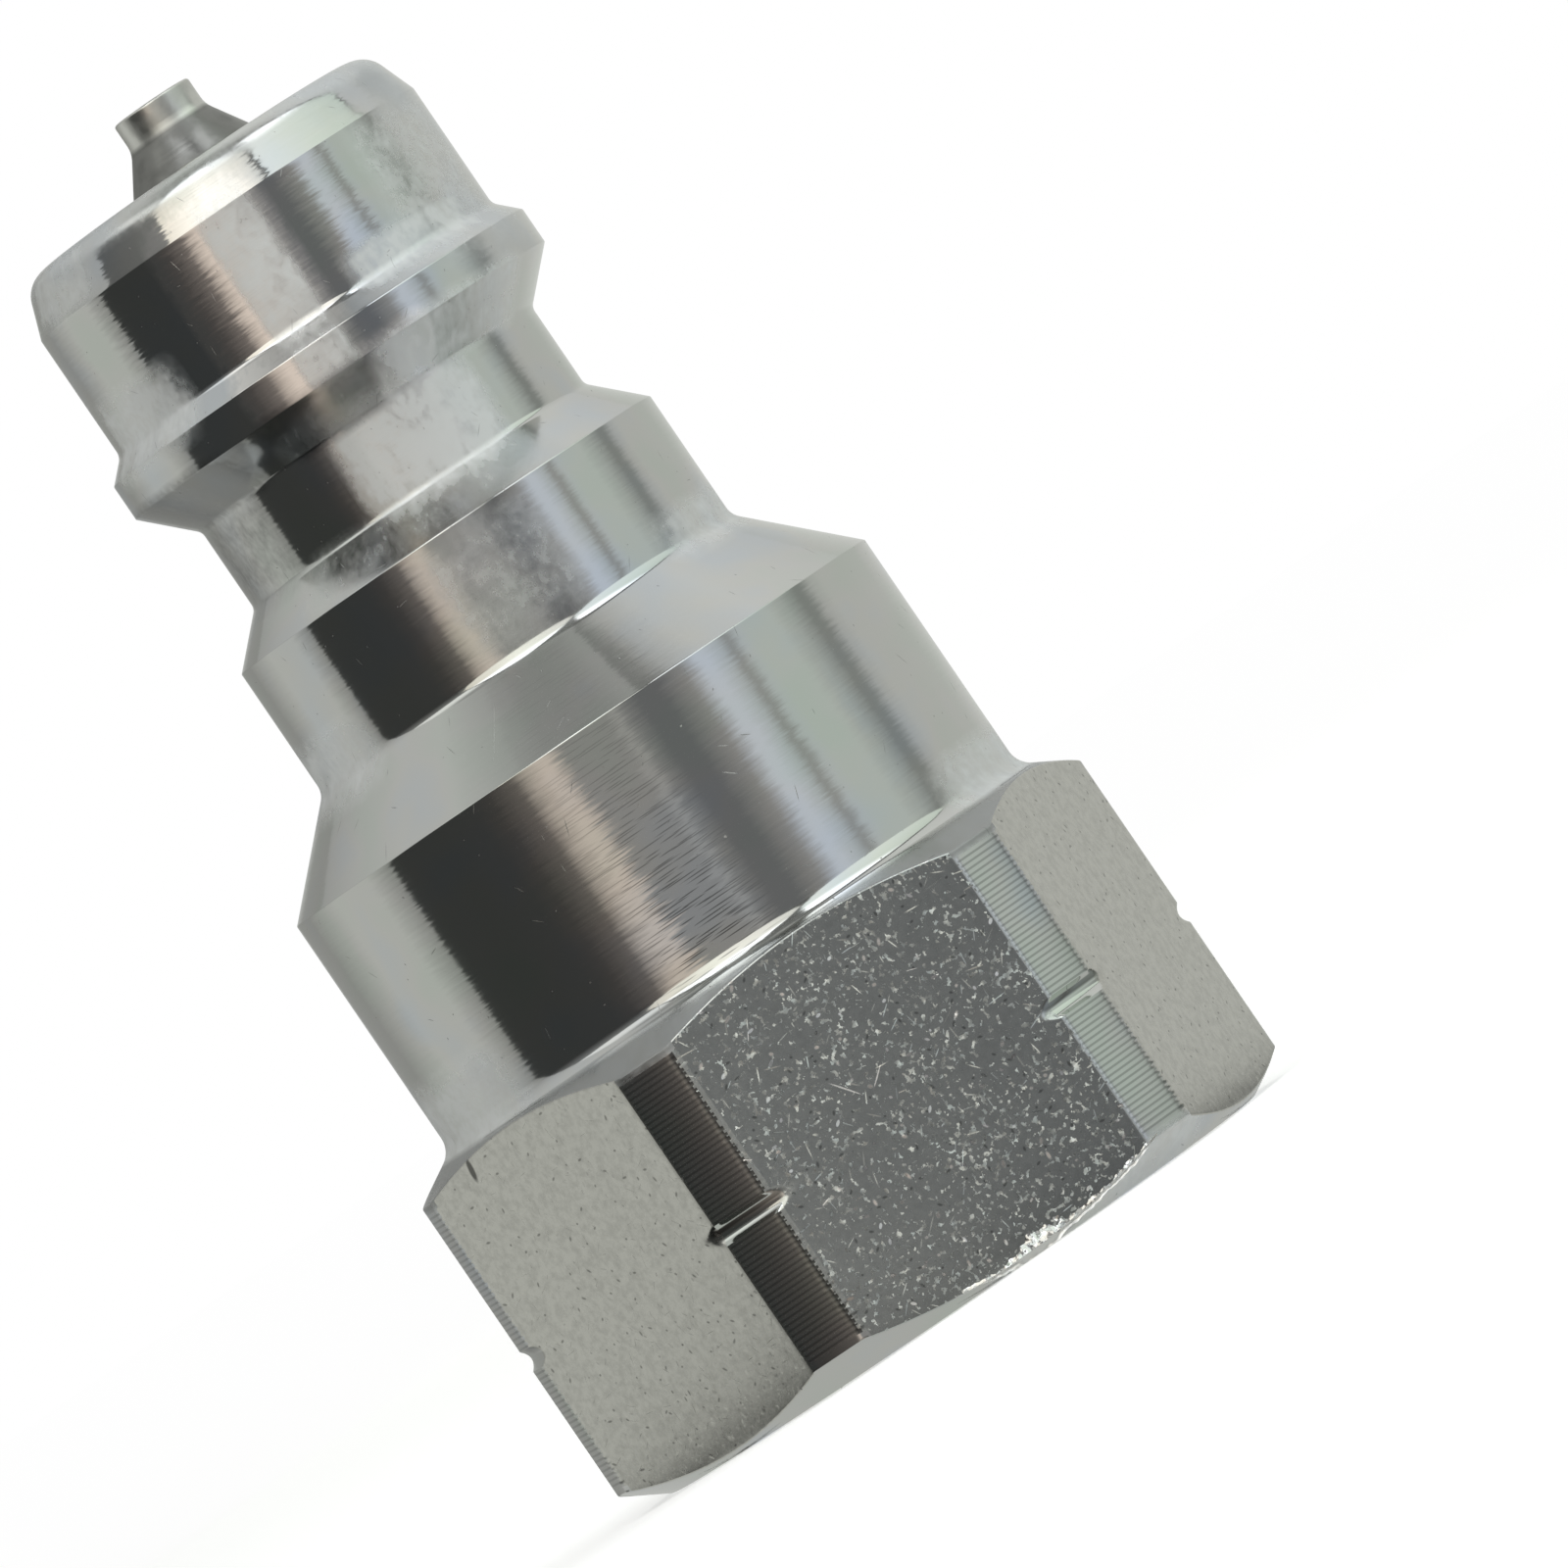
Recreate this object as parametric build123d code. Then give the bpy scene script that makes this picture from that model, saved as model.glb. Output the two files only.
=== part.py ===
from build123d import *
import math
import os

os.makedirs("parts", exist_ok=True)

# A male half of a hydraulic quick coupler, in millimetres. It stands on its port end:
# the origin is the centre of that face and +Z runs along the axis to the nose.

# Hexagon at the port end, turned from hexagonal bar
hex_across_flats = 27.8
hex_corner_diameter = 30.8
hex_length = 15.7
hex_chamfer_angle = 30.0
end_face_diameter = 27.0
hex_groove_height = 7.35
hex_groove_width = 0.9
hex_groove_depth = 0.28
hex_groove_radius = 0.3

# Turned outside, from the hexagon to the nose
body_diameter = 26.4
body_length = 10.4
shank_diameter = 19.0
shank_length = 5.5
neck_diameter = 15.35
neck_length = 3.55
collar_diameter = 19.0
collar_length = 1.5
nose_diameter = 17.3
nose_length = 5.35
nose_taper_length = 2.2
nose_taper_angle = 20.0
ramp_angle = 45.0
hex_root_radius = 1.0
shank_root_radius = 0.8
neck_root_radius = 0.45
nose_root_radius = 0.55
nose_edge_radius = 1.2
edge_radius = 0.12

# Port: parallel pipe thread G 1/2, bored to the thread's outside diameter
port_diameter = 20.955
port_depth = 15.0
port_mouth_diameter = 22.0
port_mouth_angle = 45.0

# Bore for the valve, from the port to the nose
pocket_diameter = 18.0
pocket_depth = 23.0
chamber_diameter = 16.0
chamber_length = 4.0
valve_bore_diameter = 11.8
throat_diameter = 7.8
throat_length = 2.6
seat_angle = 45.0

# Poppet
pin_diameter = 3.4
pin_length = 1.2
pin_root_radius = 1.0
poppet_protrusion = 3.05
poppet_cone_angle = 32.0
poppet_travel = 6.0
flange_thickness = 1.5
boss_length = 4.5
stem_diameter = 4.0
stem_chamfer = 0.4

# Poppet seal, an O-ring
seal_section = 1.78
seal_groove_depth = 0.85
seal_groove_play = 0.07

# Spring of round wire with ground ends
spring_wire = 1.0
spring_turns = 7.0

# Valve guide: a disc with a hub and windows for the flow
guide_thickness = 2.4
guide_hub_wall = 1.35
guide_rim_width = 1.25
guide_window_width = 2.5
guide_spokes = 3
guide_spoke_width = 3.0

# Retaining ring, open at one place so that it springs into its groove
ring_thickness = 1.0
ring_width = 1.7
ring_gap = 5.0
ring_groove_depth = 0.7

# Clearances, each on one side
stem_clearance = 0.05
head_clearance = 0.25
flange_clearance = 0.45
seal_floor_clearance = 0.02
seal_seat_clearance = 0.12
spring_clearance = 0.35
stop_clearance = 0.1
stem_end_margin = 0.6
guide_clearance = 0.05
ring_clearance = 0.1


def rise(wide, narrow, angle):
    # Height that a cone takes between two diameters, with its angle from the axis
    return (wide - narrow) / 2 / math.tan(math.radians(angle))


# Heights on the outside
hex_chamfer_height = rise(hex_corner_diameter, end_face_diameter, 90 - hex_chamfer_angle)
hex_shoulder_height = hex_length - rise(hex_corner_diameter, body_diameter, 90 - hex_chamfer_angle)
body_top = hex_length + body_length
shank_base = body_top + rise(body_diameter, shank_diameter, ramp_angle)
shank_top = shank_base + shank_length
neck_base = shank_top + rise(shank_diameter, neck_diameter, ramp_angle)
neck_top = neck_base + neck_length
collar_base = neck_top + rise(collar_diameter, neck_diameter, ramp_angle)
collar_top = collar_base + collar_length
nose_base = collar_top + rise(collar_diameter, nose_diameter, ramp_angle)
nose_top = nose_base + nose_length
front = nose_top + nose_taper_length
front_diameter = nose_diameter - 2 * nose_taper_length * math.tan(math.radians(nose_taper_angle))

# Heights and diameters in the bore
chamber_top = pocket_depth + chamber_length
valve_bore_base = chamber_top + rise(chamber_diameter, valve_bore_diameter, ramp_angle)
throat_base = front - throat_length
seat_base = throat_base - rise(valve_bore_diameter, throat_diameter, seat_angle)
guide_base = pocket_depth - guide_thickness
ring_base = guide_base - ring_thickness
ring_groove_base = ring_base - ring_clearance
ring_groove_diameter = pocket_diameter + 2 * ring_groove_depth

# The seal's section touches the seat's cone but for the seat clearance
head_diameter = throat_diameter - 2 * head_clearance
seal_floor_diameter = head_diameter - 2 * seal_groove_depth
seal_radius = seal_floor_diameter / 2 + seal_floor_clearance + seal_section / 2
seal_reach = (seal_section / 2 + seal_seat_clearance) / math.sin(math.radians(seat_angle))
seal_height = throat_base - seal_reach - (seal_radius - throat_diameter / 2) / math.tan(math.radians(seat_angle))
seal_groove_top = seal_height + seal_section / 2 + seal_groove_play
seal_groove_base = seal_height - seal_section / 2 - seal_groove_play

# Poppet, from its tip down to the end of its stem
poppet_tip = front + poppet_protrusion
cone_top = poppet_tip - pin_length
cone_base = cone_top - rise(head_diameter, pin_diameter, poppet_cone_angle)
flange_diameter = valve_bore_diameter - 2 * flange_clearance
flange_base = seal_groove_base - flange_thickness
boss_base = flange_base - boss_length
stem_end = guide_base + stem_end_margin + poppet_travel

# Guide hub and spring
hub_bore_diameter = stem_diameter + 2 * stem_clearance
hub_diameter = hub_bore_diameter + 2 * guide_hub_wall
hub_top = boss_base - poppet_travel - stop_clearance
spring_mean_diameter = hub_diameter + 2 * spring_clearance + spring_wire
boss_diameter = spring_mean_diameter - spring_wire - 2 * spring_clearance
spring_length = flange_base - pocket_depth


def turned(corners):
    # A solid of revolution from the corners of its half section: radius, height, rounding
    points = [(radius, height) for radius, height, rounding in corners]
    roundings = [rounding for radius, height, rounding in corners]
    outline = FilletPolyline(*points, radius=roundings, close=True)
    return revolve(Plane.XZ * make_face(outline), Axis.Z)


def nipple_body():
    hex_groove_floor = hex_corner_diameter / 2 - hex_groove_depth
    port_mouth_height = rise(port_mouth_diameter, port_diameter, port_mouth_angle)
    outside = [
        (end_face_diameter / 2, 0, 0),
        (hex_corner_diameter / 2, hex_chamfer_height, edge_radius),
        (hex_corner_diameter / 2, hex_groove_height - hex_groove_width / 2, 0),
        (hex_groove_floor, hex_groove_height, hex_groove_radius),
        (hex_corner_diameter / 2, hex_groove_height + hex_groove_width / 2, 0),
        (hex_corner_diameter / 2, hex_shoulder_height, edge_radius),
        (body_diameter / 2, hex_length, hex_root_radius),
        (body_diameter / 2, body_top, edge_radius),
        (shank_diameter / 2, shank_base, shank_root_radius),
        (shank_diameter / 2, shank_top, edge_radius),
        (neck_diameter / 2, neck_base, neck_root_radius),
        (neck_diameter / 2, neck_top, neck_root_radius),
        (collar_diameter / 2, collar_base, edge_radius),
        (collar_diameter / 2, collar_top, edge_radius),
        (nose_diameter / 2, nose_base, nose_root_radius),
        (nose_diameter / 2, nose_top, 0),
        (front_diameter / 2, front, nose_edge_radius),
    ]
    bore = [
        (throat_diameter / 2, front, edge_radius),
        (throat_diameter / 2, throat_base, edge_radius),
        (valve_bore_diameter / 2, seat_base, 0),
        (valve_bore_diameter / 2, valve_bore_base, 0),
        (chamber_diameter / 2, chamber_top, 0),
        (chamber_diameter / 2, pocket_depth, 0),
        (pocket_diameter / 2, pocket_depth, 0),
        (pocket_diameter / 2, guide_base, 0),
        (ring_groove_diameter / 2, guide_base, 0),
        (ring_groove_diameter / 2, ring_groove_base, 0),
        (pocket_diameter / 2, ring_groove_base, 0),
        (pocket_diameter / 2, port_depth, 0),
        (port_diameter / 2, port_depth, 0),
        (port_diameter / 2, port_mouth_height, 0),
        (port_mouth_diameter / 2, 0, 0),
    ]
    hexagon = RegularPolygon(hex_across_flats / 2, 6, major_radius=False)
    return turned(outside + bore) & extrude(hexagon, front)


def poppet():
    return turned([
        (0, poppet_tip, 0),
        (pin_diameter / 2, poppet_tip, edge_radius),
        (pin_diameter / 2, cone_top, pin_root_radius),
        (head_diameter / 2, cone_base, edge_radius),
        (head_diameter / 2, seal_groove_top, edge_radius),
        (seal_floor_diameter / 2, seal_groove_top, 0),
        (seal_floor_diameter / 2, seal_groove_base, 0),
        (flange_diameter / 2, seal_groove_base, edge_radius),
        (flange_diameter / 2, flange_base, edge_radius),
        (boss_diameter / 2, flange_base, 0),
        (boss_diameter / 2, boss_base, edge_radius),
        (stem_diameter / 2, boss_base, 0),
        (stem_diameter / 2, stem_end + stem_chamfer, 0),
        (stem_diameter / 2 - stem_chamfer, stem_end, 0),
        (0, stem_end, 0),
    ])


def poppet_seal():
    return Pos(0, 0, seal_height) * Torus(seal_radius, seal_section / 2)


def valve_spring():
    # One even helix, longer than the spring and cut flat at both ends, as ground ends are
    pitch = (spring_length - spring_wire / 2) / spring_turns
    radius = spring_mean_diameter / 2
    overrun = spring_wire
    helix = Pos(0, 0, pocket_depth - overrun) * Helix(pitch, spring_length + 2 * overrun, radius)
    section = Plane(origin=helix @ 0, z_dir=helix % 0) * Circle(spring_wire / 2)
    coil = sweep(section, path=helix, is_frenet=True)
    room = Cylinder(radius + spring_wire, spring_length, align=(Align.CENTER, Align.CENTER, Align.MIN))
    return coil & (Pos(0, 0, pocket_depth) * room)


def valve_guide():
    disc_diameter = pocket_diameter - 2 * guide_clearance
    disc = turned([
        (hub_bore_diameter / 2, guide_base, 0),
        (disc_diameter / 2, guide_base, edge_radius),
        (disc_diameter / 2, pocket_depth, edge_radius),
        (hub_diameter / 2, pocket_depth, 0),
        (hub_diameter / 2, hub_top, edge_radius),
        (hub_bore_diameter / 2, hub_top, edge_radius),
    ])
    window_outside = disc_diameter / 2 - guide_rim_width
    window = Circle(window_outside) - Circle(window_outside - guide_window_width)
    for spoke in PolarLocations(0, guide_spokes):
        window -= spoke * Rectangle(pocket_diameter, guide_spoke_width, align=(Align.MIN, Align.CENTER))
    return disc - Pos(0, 0, guide_base) * extrude(window, guide_thickness)


def guide_retaining_ring():
    outside = ring_groove_diameter / 2 - ring_clearance
    ring = Circle(outside) - Circle(outside - ring_width)
    ring -= Rectangle(ring_groove_diameter, ring_gap, align=(Align.MIN, Align.CENTER))
    return Pos(0, 0, ring_base) * extrude(ring, ring_thickness)


for sub_part in (nipple_body, poppet, poppet_seal, valve_spring, valve_guide, guide_retaining_ring):
    export_step(sub_part(), "parts/" + sub_part.__name__ + ".step")
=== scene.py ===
import bpy
import math
from mathutils import Matrix, Vector
from mathutils import noise as mathutilsNoise


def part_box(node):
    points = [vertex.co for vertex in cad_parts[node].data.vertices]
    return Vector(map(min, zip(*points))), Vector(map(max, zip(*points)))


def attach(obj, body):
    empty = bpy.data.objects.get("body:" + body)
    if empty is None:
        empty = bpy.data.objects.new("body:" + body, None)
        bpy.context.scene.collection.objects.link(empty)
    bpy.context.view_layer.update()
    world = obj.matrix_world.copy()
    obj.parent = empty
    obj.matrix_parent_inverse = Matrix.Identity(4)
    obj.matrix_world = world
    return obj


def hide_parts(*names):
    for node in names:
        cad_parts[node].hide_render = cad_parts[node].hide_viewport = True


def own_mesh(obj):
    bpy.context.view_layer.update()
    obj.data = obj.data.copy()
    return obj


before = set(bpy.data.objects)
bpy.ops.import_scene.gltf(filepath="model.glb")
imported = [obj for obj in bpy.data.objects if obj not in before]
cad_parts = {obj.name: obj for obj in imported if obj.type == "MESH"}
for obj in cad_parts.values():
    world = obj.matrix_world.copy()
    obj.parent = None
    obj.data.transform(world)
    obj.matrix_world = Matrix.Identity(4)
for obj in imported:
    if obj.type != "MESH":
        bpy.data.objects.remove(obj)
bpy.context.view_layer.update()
bodyName = "nipple"
mm = 0.001
print("stage: frame loaded")

# Camera: the axis leans 34 degrees to the left in the picture
view = {
    "distance": 757,        # mm from the axis
    "height": 20.1,         # mm above the port face
    "sideways": 5.35,       # mm to the right of the axis
    "turn": 10.8,           # degrees that the front flat faces to the right
    "lean": 34.29,          # degrees that the nose leans to the left
    "frameWidth": 60.24,    # mm across the picture at the axis
    "sensor": 36.0,
    "clip": (0.05, 10),     # m
}
towardCamera = Vector((-math.sin(math.radians(view["turn"])), -math.cos(math.radians(view["turn"])), 0))
toTheRight = Vector((-towardCamera.y, towardCamera.x, 0))
up = Vector((0, 0, 1))


def placeCamera():
    lean = math.radians(view["lean"])
    across = toTheRight * math.cos(lean) - up * math.sin(lean)
    upward = toTheRight * math.sin(lean) + up * math.cos(lean)
    target = up * view["height"] + toTheRight * view["sideways"]
    spot = (target + towardCamera * view["distance"]) * mm
    data = bpy.data.cameras.new("photoCamera")
    data.sensor_width = view["sensor"]
    data.lens = view["sensor"] * view["distance"] / view["frameWidth"]
    data.clip_start, data.clip_end = view["clip"]
    camera = bpy.data.objects.new("photoCamera", data)
    bpy.context.collection.objects.link(camera)
    turn = Matrix((across, upward, towardCamera)).transposed()
    camera.matrix_world = Matrix.Translation(spot) @ turn.to_4x4()
    bpy.context.scene.camera = camera


placeCamera()
print("stage: camera placed")


# Small helpers for meshes and shader nodes
def newPiece(name, points, faces, materials, smoothAngle=None):
    mesh = bpy.data.meshes.new(name)
    mesh.from_pydata([tuple(c * mm for c in p) for p in points], [], faces)
    for material in materials:
        mesh.materials.append(material)
    if smoothAngle is not None:
        mesh.polygons.foreach_set("use_smooth", [True] * len(mesh.polygons))
        mesh.set_sharp_from_angle(angle=math.radians(smoothAngle))
    mesh.update()
    piece = bpy.data.objects.new(name, mesh)
    bpy.context.collection.objects.link(piece)
    return piece


def gridFaces(columns, rows):
    return [(i * rows + j, i * rows + j + 1, (i + 1) * rows + j + 1, (i + 1) * rows + j)
            for i in range(columns - 1) for j in range(rows - 1)]


def between(first, last, share):
    return tuple(a + (b - a) * share for a, b in zip(first, last))


def newMaterial(name):
    material = bpy.data.materials.new(name)
    material.use_nodes = True
    material.node_tree.nodes.clear()
    return material, material.node_tree


def finished(material, shader):
    tree = material.node_tree
    output = tree.nodes.new("ShaderNodeOutputMaterial")
    tree.links.new(shader.outputs[0], output.inputs[0])
    return material


def addNode(tree, kind, settings=None, inputs=None):
    node = tree.nodes.new("ShaderNode" + kind)
    for key, value in (settings or {}).items():
        setattr(node, key, value)
    for key, value in (inputs or {}).items():
        socket = node.inputs[key]
        if hasattr(value, "is_output"):
            tree.links.new(value, socket)
        else:
            socket.default_value = value
    return node


def mathNode(tree, operation, first, second=None):
    inputs = {0: first} if second is None else {0: first, 1: second}
    return addNode(tree, "Math", {"operation": operation}, inputs).outputs[0]


def distanceFrom(tree, value, middle):
    return mathNode(tree, "ABSOLUTE", mathNode(tree, "SUBTRACT", value, middle))


def product(tree, *factors):
    whole = factors[0]
    for factor in factors[1:]:
        whole = mathNode(tree, "MULTIPLY", whole, factor)
    return whole


def either(tree, *masks):
    whole = masks[0]
    for mask in masks[1:]:
        whole = mathNode(tree, "MAXIMUM", whole, mask)
    return whole


def slope(tree, value, low, high, first=0.0, last=1.0):
    # Runs evenly from first to last while the value runs from low to high
    inputs = {"Value": value, "From Min": low, "From Max": high, "To Min": first, "To Max": last}
    return addNode(tree, "MapRange", {"clamp": True}, inputs).outputs[0]


def masked(tree, mask, first, last):
    return slope(tree, mask, 0.0, 1.0, first, last)


def vectorNode(tree, operation, first, second=None):
    inputs = {0: first} if second is None else {0: first, 1: second}
    return addNode(tree, "VectorMath", {"operation": operation}, inputs).outputs[0]


def scaledVector(tree, vector, scale):
    return vectorNode(tree, "MULTIPLY", vector, scale)


def stretched(tree, vector, amount):
    return addNode(tree, "VectorMath", {"operation": "SCALE"}, {0: vector, "Scale": amount}).outputs[0]


def lengthOf(tree, vector):
    return addNode(tree, "VectorMath", {"operation": "LENGTH"}, {0: vector}).outputs["Value"]


def rotated(tree, vector, turn):
    inputs = {"Vector": vector, "Angle": turn}
    return addNode(tree, "VectorRotate", {"rotation_type": "Z_AXIS"}, inputs).outputs[0]


def separated(tree, vector):
    return tuple(addNode(tree, "SeparateXYZ", inputs={0: vector}).outputs)


def joined(tree, x, y):
    return addNode(tree, "CombineXYZ", inputs={0: x, 1: y}).outputs[0]


def grey(level):
    return (level, level, level, 1)


def millimetreVector(tree):
    return scaledVector(tree, addNode(tree, "TexCoord").outputs["Object"], (1 / mm, 1 / mm, 1 / mm))


def unrolledVector(tree, radius):
    # The surface rolled flat, in mm: x runs around the axis from the front flat's middle, y is the height
    x, y, z = separated(tree, millimetreVector(tree))
    angle = mathNode(tree, "ARCTAN2", x, product(tree, y, -1.0))
    return joined(tree, product(tree, angle, radius), z)


def noise(tree, vector, scale, detail=2.0, roughness=0.5, output="Fac"):
    inputs = {"Vector": vector, "Scale": scale, "Detail": detail, "Roughness": roughness}
    return addNode(tree, "TexNoise", inputs=inputs).outputs[output]


def streaks(tree, vector, across, along, detail, roughness=0.5):
    return noise(tree, scaledVector(tree, vector, (across, along, 1)), 1.0, detail, roughness)


def bump(tree, height, depth, normal=None):
    # depth in mm for a height of one
    inputs = {"Height": height, "Distance": depth * mm, "Strength": 1.0}
    if normal is not None:
        inputs["Normal"] = normal
    return addNode(tree, "Bump", inputs=inputs).outputs[0]


def tilted(tree, normal, push, amount):
    # Leans the normal by a vector times an amount
    return vectorNode(tree, "NORMALIZE", vectorNode(tree, "ADD", normal, stretched(tree, push, amount)))


def darkened(tree, color, mask, share):
    # Takes a share of the colour's light away where the mask is one
    return stretched(tree, color, masked(tree, mask, 1.0, 1.0 - share))


def blended(tree, first, second, share):
    return addNode(tree, "Mix", {"data_type": "RGBA"}, {0: share, 6: first, 7: second}).outputs[2]


def surface(material, color, roughness, normal, metallic=1.0):
    inputs = {"Base Color": color, "Metallic": metallic, "Roughness": roughness, "Normal": normal}
    return finished(material, addNode(material.node_tree, "BsdfPrincipled", inputs=inputs))


def strewn(tree, vector, marks):
    # One mark at most in each cell, with its own length and direction
    # Returns the mask of the marks and the random colour of each one's cell
    cell = (*marks["cell"], 1)
    shifted = vectorNode(tree, "ADD", vector, (marks["shift"], marks["shift"], 0))
    cells = vectorNode(tree, "DIVIDE", shifted, cell)
    spots = addNode(tree, "TexVoronoi", {"voronoi_dimensions": "2D"}, {"Vector": cells, "Scale": 1.0})
    away = scaledVector(tree, vectorNode(tree, "SUBTRACT", cells, spots.outputs["Position"]), cell)
    chance = addNode(tree, "SeparateColor", inputs={0: spots.outputs["Color"]}).outputs
    spread = math.radians(marks["spread"])
    turn = masked(tree, chance[0], -spread, spread)
    reach = masked(tree, chance[1], marks["length"] * 0.15, marks["length"] * 0.5)
    shown = mathNode(tree, "LESS_THAN", chance[2], marks["share"])
    x, y = separated(tree, rotated(tree, away, turn))[:2]
    along = mathNode(tree, "DIVIDE", x, reach)
    across = mathNode(tree, "DIVIDE", y, marks["width"] / 2)
    distance = lengthOf(tree, joined(tree, along, across))
    return product(tree, slope(tree, distance, 1.0, 0.5), shown), spots.outputs["Color"]


def ownMarks(tree, vector, radius, marks):
    # Marks that this one part carries: degrees from the front flat, height, length, width and turn
    masks = []
    for angle, height, length, width, turn in marks:
        away = vectorNode(tree, "SUBTRACT", vector, (radius * math.radians(angle), height, 0))
        away = rotated(tree, away, math.radians(-turn))
        away = scaledVector(tree, away, (2 / length, 2 / width, 0))
        masks.append(slope(tree, lengthOf(tree, away), 1.0, 0.6))
    return either(tree, *masks)


# The body's outline, in mm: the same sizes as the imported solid
hexagon = {
    "acrossFlats": 27.8,
    "cornerDiameter": 30.8,
    "length": 15.7,
    "endDiameter": 27.0,
    "chamferAngle": 30.0,
    "rootRadius": 1.0,
    "grooveHeight": 7.35,
    "grooveWidth": 0.9,
    "grooveDepth": 0.28,
    "edgeSoftness": 0.1,
    "rootArcStep": 6.0,     # degrees from one point of the arc to the next
    "edgeRows": (-0.2, -0.1, -0.05, 0, 0.05, 0.1, 0.2),     # mm from each chamfer's edge
    "rowGap": 0.05,
    "plainRows": 12,
    "grooveRows": 14,
    "ribDepth": 0.0025,
    "tornRibDepth": 0.05,   # at the corner's edge where the cutting tool left the bar
    "tornRibs": (3.2, 4.6),     # degrees from the corner, over which they deepen
    "ribHeights": (1.5, 13.95),
    "rowsPerRib": 4,
    "landStart": -4.8,      # degrees from the corner, where the ribbed strip's mesh starts and ends
    "landEnd": 5.44,
    "landMargin": 0.3,      # mm from the chamfers to the strip's ends
}
outside = {
    "bodyDiameter": 26.4,
    "bodyLength": 10.4,
    "shankDiameter": 19.0,
    "shankLength": 5.5,
    "neckDiameter": 15.35,
    "neckLength": 3.55,
    "collarDiameter": 19.0,
    "collarLength": 1.5,
    "noseDiameter": 17.3,
    "noseLength": 5.35,
    "taperLength": 2.2,
    "taperAngle": 20.0,
    "shankRoot": 0.8,
    "neckRoot": 0.45,
    "noseRoot": 0.55,
    "frontEdge": 1.2,
    "edge": 0.08,
    "arcStep": 7.0,
}
bore = {
    "edge": 0.05,           # mm of rounding inside
    "arcStep": 30.0,
    "throatDiameter": 7.8,
    "throatLength": 2.6,
    "valveDiameter": 11.8,
    "chamberDiameter": 16.0,
    "chamberLength": 4.0,
    "pocketDiameter": 18.0,
    "pocketDepth": 23.0,
    "grooveDiameter": 19.4,
    "grooveBase": 19.5,
    "grooveTop": 20.6,
    "portDiameter": 20.955,
    "portDepth": 15.0,
    "mouthDiameter": 22.0,
}
chamferSlope = math.tan(math.radians(hexagon["chamferAngle"]))
flatReach = hexagon["acrossFlats"] / 2
cornerRadius = hexagon["cornerDiameter"] / 2
endRadius = hexagon["endDiameter"] / 2
bodyRadius = outside["bodyDiameter"] / 2


zinc = {
    "color": (0.72, 0.72, 0.70, 1),
    "blueTint": (0.68, 0.71, 0.74, 1),
    "greenTint": (0.69, 0.72, 0.68, 1),
    "hazeColor": (0.94, 0.96, 0.965, 1),
    # The next colour is a painted sheen, for the bright patches and the front flat's glints
    "paintedSheenColor": (0.97, 0.95, 0.93, 1),
    "hazeShare": 0.8,       # share of its colour where the plating is cloudiest
    "hazeMetal": 0.55,      # share of bare metal there: the white film is no metal
    "roughness": 0.09,
    "hazeRoughness": 0.55,
    "scratchRoughness": 0.5,
    "tearDarkness": 0.72,
    # The next share is taken from the colour in the painted shade patches
    "paintedShadeDarkness": 0.42,
    "scratchDarkness": 0.3,
    # The next two give the painted shade on the hexagon's upper chamfer: how much is taken, and where
    "paintedChamferShade": 0.5,
    "paintedShadeChamfer": (14.0, 14.3, 15.3, 15.5),    # mm of height: its start and end, each with a fade
    "lineDepth": 0.0005,    # mm of the fine turning lines
    "wobbleDepth": 0.002,
    "sway": (0.04, 0.256),  # least and most that the turned surface leans sideways, line by line
    "noseStart": (44.5, 46.0),  # mm of height, over which the sway grows on the nose
    "noseSway": (0.1, 0.42),    # how uneven the surface is below and above it, with one in the torn sector
    "feedPitch": 0.225,     # mm between the feed lines on the corners
}
# Patches on the turned surface, mostly beside the inner corners: height and reach in mm, angle from the
# front flat and reach in degrees, strength. First the cloudy plating, then the painted sheen and the
# painted shade
hazes = [
    (16.4, 2.4, -88, 36, 0.8), (16.3, 1.6, 66, 30, 0.7), (30.2, 1.8, -85, 34, 0.75),
    (30.2, 1.4, 62, 32, 0.55), (45.2, 2.0, -66, 24, 0.8), (47.6, 4.0, -11, 9, 0.75),
    (45.2, 1.2, 30, 26, 0.8), (47.0, 4.5, 48, 24, 0.45), (38.8, 2.9, 0, 27, 1.0), (41.7, 1.4, 26, 30, 0.65),
    (38.8, 2.8, 150, 74, 0.8), (32.6, 3.4, -4, 18, 0.36), (45.2, 1.8, 150, 60, 0.8),
    (16.4, 2.0, 160, 60, 0.6), (41.6, 1.4, -90, 34, 0.2), (43.3, 1.2, -10, 8, 0.6),
    (51.4, 1.4, -70, 20, 0.6), (14.7, 0.8, -6, 66, 0.8), (52.2, 1.0, 0, 178, 0.3),
    (36.4, 1.3, -14, 44, 0.3), (0.6, 0.9, 24, 18, 0.75),
]
# Painted sheen: the colour is lightened here, standing in for bright reflections
paintedSheens = [
    (47.6, 4.2, -17, 19, 2.2), (43.4, 1.6, -19, 15, 1.5), (41.6, 1.6, 6, 11, 1.7), (39.0, 2.6, -2, 16, 1.2),
]
# Painted shade: on the neck and the shoulder under the collar, where the collar shades them
paintedShadePatches = [(41.6, 1.3, -72, 30, 1.6), (41.6, 1.3, -18, 17, 1.6), (38.9, 2.6, -76, 26, 0.65)]
tears = {
    "angle": -12.0,         # degrees from the front flat: the middle of the torn sector
    "reach": 13.0,          # degrees to each side
    "lowest": 16.6,
    "highest": 25.9,
}
scratches = {"cell": (1.8, 1.8), "length": 0.9, "width": 0.045, "spread": 180, "share": 0.25, "shift": 0.0}
dust = {"cell": (1.1, 1.1), "length": 0.16, "width": 0.07, "spread": 180, "share": 0.2, "shift": 3.7}
turningTears = {
    "cell": (1.6, 0.135), "length": 2.6, "width": 0.06, "spread": 0.5, "share": 0.85, "shift": 1.3,
}
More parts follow.
